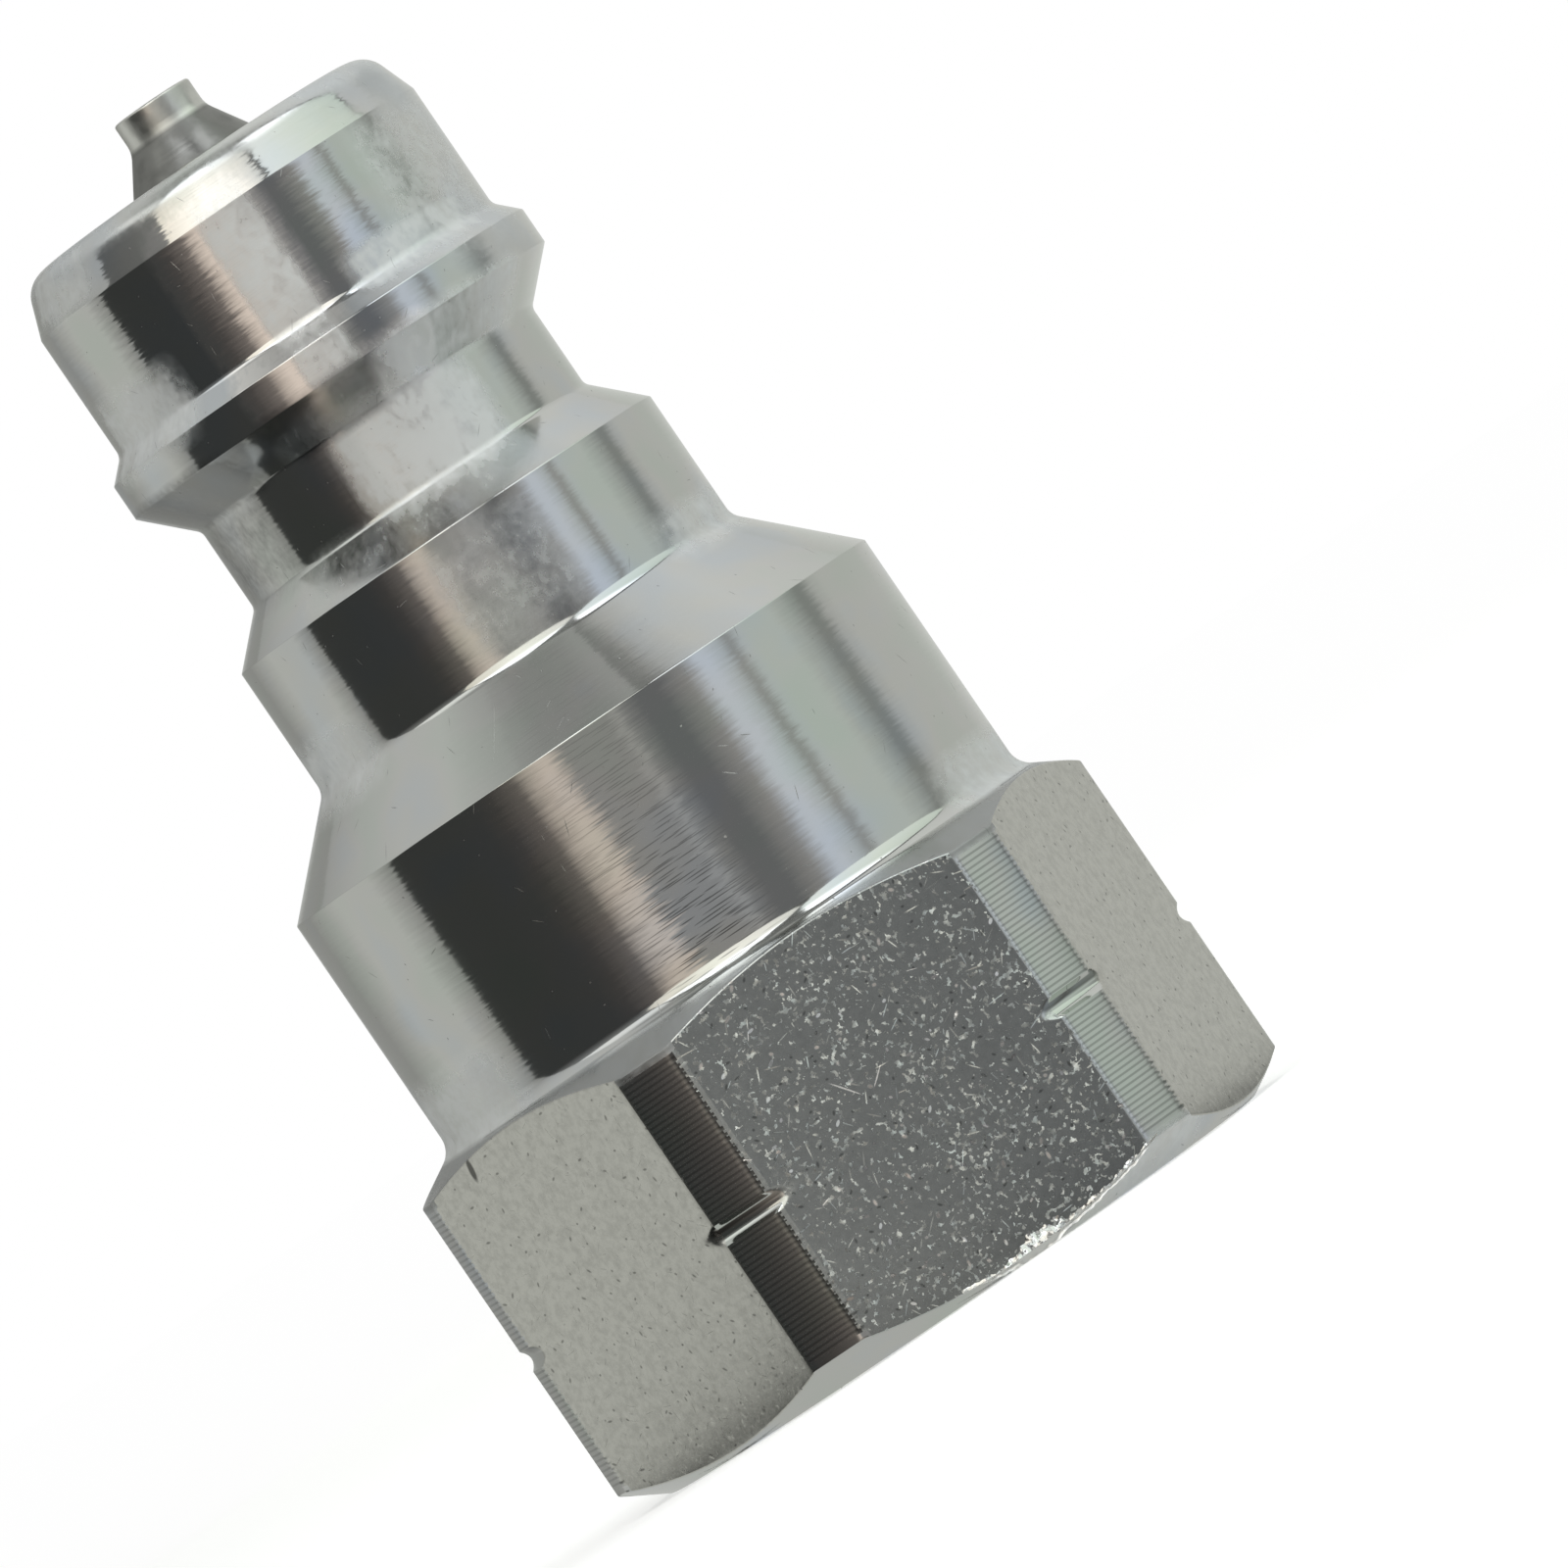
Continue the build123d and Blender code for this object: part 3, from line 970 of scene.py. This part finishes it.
def portThread():
    # One helical ridge on the port's wall, fading in and out at its ends
    t = thread
    pitch = 25.4 / t["turnsPerInch"]
    wall = bore["portDiameter"] / 2 + t["sunk"]
    crest = t["minorDiameter"] / 2
    steps = int((t["end"] - t["start"] - pitch) / pitch * t["segments"])
    fadeSteps = t["fade"] * t["segments"]
    section = [(-offset, rise) for offset, rise in t["section"]] + list(reversed(t["section"]))
    points = []
    for i in range(steps + 1):
        turn = 2 * math.pi * i / t["segments"]
        base = t["start"] + pitch / 2 + pitch * i / t["segments"]
        fade = min(1, i / fadeSteps, (steps - i) / fadeSteps)
        for offset, rise in section:
            radius = wall - (wall - crest) * rise * max(fade, 0.02)
            points.append((radius * math.cos(turn), radius * math.sin(turn), base + offset * pitch))
    faces = gridFaces(steps + 1, len(section))
    piece = newPiece("portThread", points, faces, [turnedFinish], smoothAngle=40)
    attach(piece, bodyName)


portThread()
print("stage: thread cut")


spring = {
    "wire": 1.0,
    "meanDiameter": 8.5,
    "turns": 8.0,
    "closedTurns": 1.0,     # at each end
    "closedPitch": 0.98,    # share of the wire: the closed turns touch
    "sides": 10,
    "segments": 40,
    "keep": 0.74,           # share of its length that is left when the poppet is fully pushed in
}


def valveSpring():
    # Closed ends lie turn on turn, the rest is evenly wound
    s = spring
    low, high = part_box("valve_spring")
    base, top = low[2] / mm, high[2] / mm
    radius, wire = s["meanDiameter"] / 2, s["wire"] / 2
    count = int(s["turns"] * s["segments"])
    openTurns = s["turns"] - 2 * s["closedTurns"]
    height = base + wire
    closedPitch = s["wire"] * s["closedPitch"]
    openPitch = (top - base - 2 * wire - 2 * s["closedTurns"] * closedPitch) / openTurns
    points, faces = [], []
    for i in range(count + 1):
        turn = 2 * math.pi * i / s["segments"]
        done = i / s["segments"]
        closed = min(done, s["turns"] - done) < s["closedTurns"]
        outward = Vector((math.cos(turn), math.sin(turn), 0))
        middle = outward * radius + up * height
        for k in range(s["sides"]):
            around = 2 * math.pi * k / s["sides"]
            spot = middle + (outward * math.cos(around) + up * math.sin(around)) * wire
            spot.z = min(max(spot.z, base), top)
            points.append(tuple(spot))
        height += (closedPitch if closed else openPitch) / s["segments"]
    n = s["sides"]
    for i in range(count):
        for k in range(n):
            a, b = i * n + k, i * n + (k + 1) % n
            faces.append((a, b, b + n, a + n))
    faces.append(tuple(range(n - 1, -1, -1)))
    faces.append(tuple(count * n + k for k in range(n)))
    piece = newPiece("valveSpring", points, faces, [springSteel], smoothAngle=50)
    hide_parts("valve_spring")
    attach(piece, bodyName)
    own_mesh(piece)


valveSpring()
print("stage: spring wound")


def dressNode(name, material):
    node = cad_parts[name]
    node.data.materials.clear()
    node.data.materials.append(material)


dressNode("poppet", poppetFinish)
dressNode("poppet_seal", rubber)
dressNode("valve_guide", guideSteel)
dressNode("guide_retaining_ring", springSteel)
print("stage: inner pieces dressed")


# Studio: a white room for the camera, with tone cards on a sphere around the part for the metal to reflect
# azimuth in degrees from the camera, positive to the right; elevation from the floor
room = {
    "cardRadius": 620,
    "centreHeight": 30,     # mm from the floor to the sphere's centre
    "boxesInFront": 15,     # mm from the cards to the softboxes before them
    "worldLevel": 0.55,
    "floorRadius": 3000,
    "floorTone": 0.9,
    "floorGlow": 0.5,
    "groundRings": (13.3, 17.6, 18.6, 26, 36, 60, 160, 620),     # mm from the axis
    "groundShares": (0, 0, 0.4, 0.3, 0.7, 1, 1, 1),     # of the wall's tone; nought is the near tone
    "groundHeight": 0.04,
    "nearGround": (0.5, 0.51, 0.49),
    "wall": (-4, 24),       # degrees from the coloured wall's foot to its top
    "wallStep": 6,          # degrees from one column of the wall to the next
}
pale = (0.53, 0.54, 0.515)
shade = (0.31, 0.315, 0.3)
flag = (0.043, 0.045, 0.043)
brown = (0.145, 0.129, 0.118)
cream = (0.66, 0.58, 0.51)
lens = (0.3, 0.295, 0.285)
dark = (0.155, 0.158, 0.162)
blue = (0.62, 0.66, 0.71)
green = (0.53, 0.575, 0.54)
dusk = (0.26, 0.275, 0.26)
# The wall's tones by azimuth, running evenly from one to the next
wallStops = [
    (-180, (0.62, 0.63, 0.61)), (-166, shade), (-144, shade), (-118, pale), (-96, pale), (-83.5, shade),
    (-82.5, flag), (-60, flag), (-44, (0.046, 0.047, 0.046)), (-37, (0.06, 0.056, 0.053)), (-27, brown),
    (-21, (0.5, 0.44, 0.385)), (-17, cream), (-13.5, cream), (-8.5, lens), (9.5, lens),
    (12.5, (0.38, 0.375, 0.36)), (16, (0.25, 0.25, 0.245)), (22, dark), (30, dark), (40, lens),
    (46.5, blue), (50, blue), (56, (0.5, 0.54, 0.55)), (60, shade), (64, (0.53, 0.57, 0.57)),
    (69, green), (80, green), (88, (0.42, 0.455, 0.43)), (95.5, dusk), (99, dusk),
    (104, (0.47, 0.48, 0.46)), (110, pale), (144, pale), (180, (0.66, 0.67, 0.64)),
]
# Softboxes shaped like a lens: azimuth and elevation of both ends, lowest and highest in the middle
# Their tones go from the left end over the middle to the right end, and upwards they grow brighter
softboxes = {
    "creamBox": {"azimuth": (-38, 31.4), "ends": (38, 38), "low": 14, "high": 76,
                 "tones": ((0.84, 0.8, 0.7), (1.22, 1.2, 1.1), (0.88, 0.88, 0.84))},
    "greenBox": {"azimuth": (33.4, 103), "ends": (38, 24), "low": 12, "high": 70,
                 "tones": ((1.0, 1.06, 1.06), (0.86, 0.94, 0.86), (0.68, 0.76, 0.68))},
}
boxLook = {
    "top": (1.9, 1.95, 2.0),
    "brightening": (46, 58),    # degrees of elevation over which a softbox takes on its top's tone
    "swell": (2.2, 0.6),    # how full and how blunt the lens is
    "columns": 30,
    "rows": 10,
}
# Cards above the wall: grey tones evenly spaced from the lower edge to the upper one
upperCards = {
    "leftWall": {"azimuth": (-180, -83), "elevation": (24, 78), "tones": (0.38, 0.48, 0.54, 0.55, 0.4)},
    "rightWall": {"azimuth": (104, 180), "elevation": (24, 78), "tones": (0.6, 0.66, 0.7, 0.64, 0.4)},
    "leftSurround": {"azimuth": (-83, -38), "elevation": (24, 46), "tones": (0.05, 0.13, 0.22)},
    "leftUpper": {"azimuth": (-83, -38), "elevation": (46, 78), "tones": (0.9, 0.9, 0.35, 0.35)},
    "frontSurround": {"azimuth": (-38, 104), "elevation": (24, 78), "tones": (0.12, 0.12, 0.2)},
    "ceiling": {"azimuth": (-180, 180), "elevation": (78, 90), "tones": (0.38, 0.3, 0.28)},
}


def cardGlow():
    material, tree = newMaterial("cardGlow")
    # The cards close the room, so no light has to be searched for
    material.cycles.emission_sampling = "NONE"
    tone = addNode(tree, "Attribute", {"attribute_name": "tone"})
    glow = addNode(tree, "Emission", inputs={"Color": tone.outputs["Color"], "Strength": 1.0})
    return finished(material, glow)


def stageCard(name, points, tones, faces, material):
    # A glowing card that the camera doesn't see
    piece = newPiece(name, points, faces, [material])
    layer = piece.data.color_attributes.new("tone", "FLOAT_COLOR", "POINT")
    for item, tone in zip(layer.data, tones):
        item.color = (*tone, 1)
    piece.visible_camera = False
    return piece


def spherePoint(azimuth, elevation, radius):
    azimuth, elevation = math.radians(azimuth), math.radians(elevation)
    away = towardCamera * math.cos(azimuth) + toTheRight * math.sin(azimuth)
    away = away * math.cos(elevation) + up * math.sin(elevation)
    return tuple(away * radius + up * room["centreHeight"])


def toneAt(tones, share):
    # Runs evenly through a row of tones
    place = share * (len(tones) - 1)
    first = min(int(place), len(tones) - 2)
    return between(tones[first], tones[first + 1], place - first)


def gridCard(name, azimuths, columns, rows, placeAt, material):
    # placeAt gives the elevation, radius and tone for the shares of the way across and up
    (left, right), points, tones = azimuths, [], []
    for i in range(columns):
        across = i / (columns - 1)
        for j in range(rows):
            elevation, radius, tone = placeAt(across, j / (rows - 1))
            points.append(spherePoint(left + (right - left) * across, elevation, radius))
            tones.append(tone)
    stageCard(name, points, tones, gridFaces(columns, rows), material)


def upperCard(name, card, material):
    (left, right), (low, high) = card["azimuth"], card["elevation"]
    greys = [(tone, tone * 1.015, tone * 0.985) for tone in card["tones"]]

    def placeAt(across, upward):
        return low + (high - low) * upward, room["cardRadius"], toneAt(greys, upward)

    gridCard(name, card["azimuth"], max(3, int((right - left) / 4)), 13, placeAt, material)


def softbox(name, box, material):
    first, last = box["ends"]
    full, blunt = boxLook["swell"]
    start, end = boxLook["brightening"]

    def placeAt(across, upward):
        swell = (1 - abs(2 * across - 1) ** full) ** blunt
        middle = first + (last - first) * across
        low = middle - (middle - box["low"]) * swell
        high = middle + (box["high"] - middle) * swell
        elevation = low + (high - low) * upward
        rise = min(max((elevation - start) / (end - start), 0), 1)
        tone = between(toneAt(box["tones"], across), boxLook["top"], rise)
        return elevation, room["cardRadius"] - room["boxesInFront"], tone

    gridCard(name, box["azimuth"], boxLook["columns"], boxLook["rows"], placeAt, material)


def colouredWall(material):
    # The wall around the part, and the same tones on the floor up to its foot
    azimuths, tones = [], []
    for (start, tone), (end, nextTone) in zip(wallStops, wallStops[1:]):
        steps = max(1, int((end - start) / room["wallStep"]))
        for i in range(steps):
            azimuths.append(start + (end - start) * i / steps)
            tones.append(between(tone, nextTone, i / steps))
    azimuths.append(wallStops[-1][0])
    tones.append(wallStops[-1][1])
    foot, top = room["wall"]
    rows = len(room["groundRings"])
    wall, ground, wallTones, groundTones = [], [], [], []
    for azimuth, tone in zip(azimuths, tones):
        for j, (reach, share) in enumerate(zip(room["groundRings"], room["groundShares"])):
            wall.append(spherePoint(azimuth, foot + (top - foot) * j / (rows - 1), room["cardRadius"]))
            wallTones.append(tone)
            ground.append((*spherePoint(azimuth, 0, reach)[:2], room["groundHeight"]))
            groundTones.append(tuple(share * c for c in tone) if share else room["nearGround"])
    faces = gridFaces(len(azimuths), rows)
    stageCard("wall", wall, wallTones, faces, material)
    sheet = stageCard("groundTones", ground, groundTones, faces, material)
    sheet.visible_diffuse = False
    sheet.visible_shadow = False


def seenAsWhite(tree):
    # One for what the camera sees by itself or in metal and glass
    path = addNode(tree, "LightPath").outputs
    return either(tree, path["Is Camera Ray"], path["Is Glossy Ray"], path["Is Transmission Ray"])


def paleFloor():
    material, tree = newMaterial("paleFloor")
    level = product(tree, seenAsWhite(tree), room["floorGlow"])
    paint = addNode(tree, "BsdfDiffuse", inputs={"Color": grey(room["floorTone"])})
    glow = addNode(tree, "Emission", inputs={"Color": grey(1), "Strength": level})
    both = addNode(tree, "AddShader", inputs={0: paint.outputs[0], 1: glow.outputs[0]})
    finished(material, both)
    points = [spherePoint(azimuth, 0, room["floorRadius"])[:2] + (0,) for azimuth in range(-180, 180, 4)]
    newPiece("floor", points, [tuple(range(len(points)))], [material])


def whiteWorld():
    world = bpy.data.worlds.new("whiteRoom")
    bpy.context.scene.world = world
    world.use_nodes = True
    tree = world.node_tree
    tree.nodes.clear()
    output = tree.nodes.new("ShaderNodeOutputWorld")
    extra = product(tree, seenAsWhite(tree), 1 - room["worldLevel"])
    level = mathNode(tree, "ADD", extra, room["worldLevel"])
    backdrop = addNode(tree, "Background", inputs={"Color": grey(1), "Strength": level})
    tree.links.new(backdrop.outputs[0], output.inputs[0])


glowing = cardGlow()
colouredWall(glowing)
for cardName, card in upperCards.items():
    upperCard(cardName, card, glowing)
for boxName, box in softboxes.items():
    softbox(boxName, box, glowing)
paleFloor()
whiteWorld()
bpy.context.scene.view_settings.view_transform = "Standard"
print("stage: studio set")
